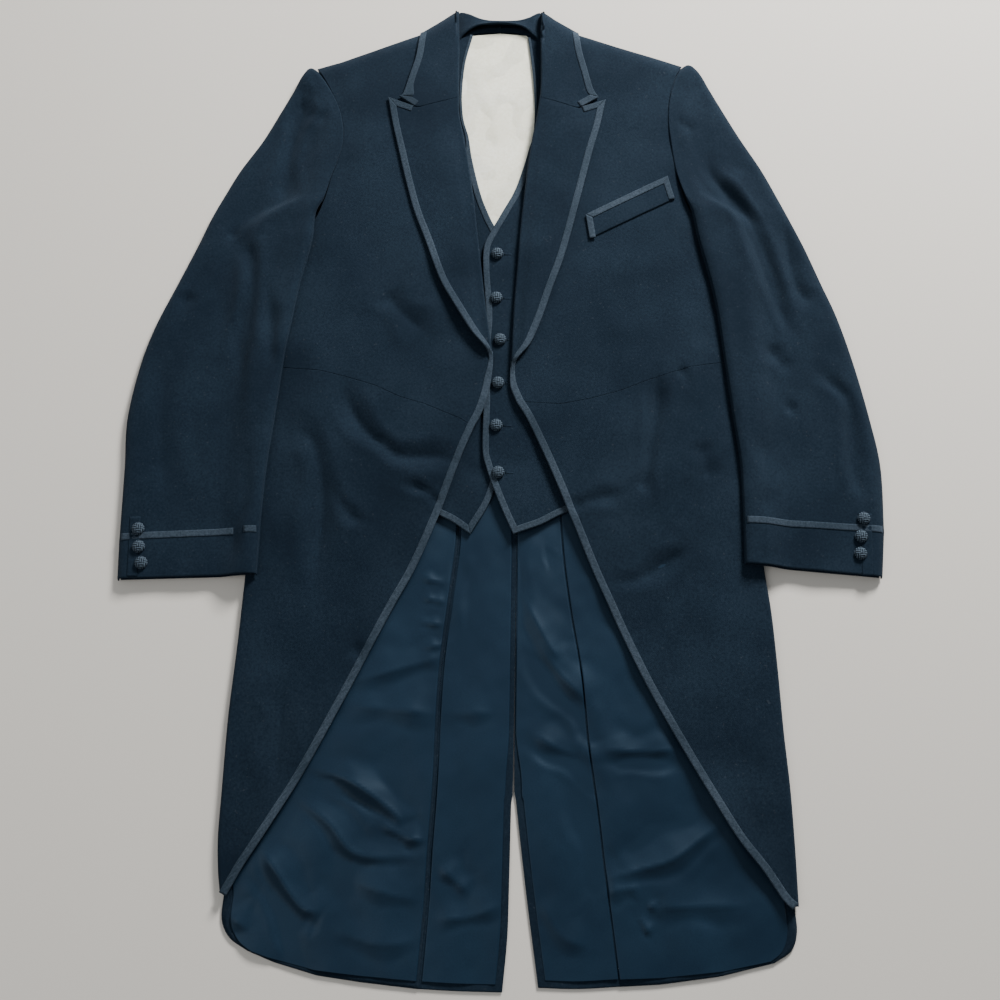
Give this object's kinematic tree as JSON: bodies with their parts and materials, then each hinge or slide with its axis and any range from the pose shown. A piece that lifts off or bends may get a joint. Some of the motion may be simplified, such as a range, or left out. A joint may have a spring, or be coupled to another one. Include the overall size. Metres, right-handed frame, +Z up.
{
  "type": "morning suit",
  "caption": "Navy morning coat with braided edges, open over a buttoned waistcoat, laid flat with its front up.",
  "frame": {"origin": "middle of the suit's outline, on the surface that its back lies on", "axes": "+Z up out of the front, +Y from the hem towards the collar, +X towards the wearer's left sleeve"},
  "size_m": [0.798, 1.0766, 0.022],
  "materials": {
    "navy_wool": "matte",
    "navy_braid": "matte",
    "navy_satin": "satin",
    "cream_cotton": "matte",
    "covered_button": "matte"
  },
  "bodies": {
    "root": {"back_left": "navy_wool", "back_right": "navy_wool", "breast_welt": "navy_wool", "collar_left": "navy_wool", "collar_right": "navy_wool", "collar_stand": "navy_wool", "forepart_left": "navy_wool", "forepart_right": "navy_wool", "lapel_left": "navy_wool", "lapel_right": "navy_wool", "side_body_left": "navy_wool", "side_body_right": "navy_wool", "skirt_left": "navy_wool", "skirt_right": "navy_wool", "top_sleeve_left": "navy_wool", "top_sleeve_right": "navy_wool", "under_sleeve_left": "navy_wool", "under_sleeve_right": "navy_wool", "waistcoat_front_left": "navy_wool", "waistcoat_front_right": "navy_wool", "waistcoat_neck_band": "navy_wool", "braid_breast_welt": "navy_braid", "braid_collar_left": "navy_braid", "braid_collar_right": "navy_braid", "braid_cuff_left": "navy_braid", "braid_cuff_right": "navy_braid", "braid_forepart_left": "navy_braid", "braid_forepart_right": "navy_braid", "braid_lapel_left": "navy_braid", "braid_lapel_right": "navy_braid", "braid_skirt_left": "navy_braid", "braid_skirt_right": "navy_braid", "braid_waistcoat_left": "navy_braid", "braid_waistcoat_right": "navy_braid", "back_lining_left": "navy_satin", "back_lining_right": "navy_satin", "skirt_lining_left": "navy_satin", "skirt_lining_right": "navy_satin", "waistcoat_back": "cream_cotton", "cuff_button_left_1": "covered_button", "cuff_button_left_2": "covered_button", "cuff_button_left_3": "covered_button", "cuff_button_right_1": "covered_button", "cuff_button_right_2": "covered_button", "cuff_button_right_3": "covered_button", "waistcoat_button_1": "covered_button", "waistcoat_button_2": "covered_button", "waistcoat_button_3": "covered_button", "waistcoat_button_4": "covered_button", "waistcoat_button_5": "covered_button", "waistcoat_button_6": "covered_button"}
  },
  "joints": []
}
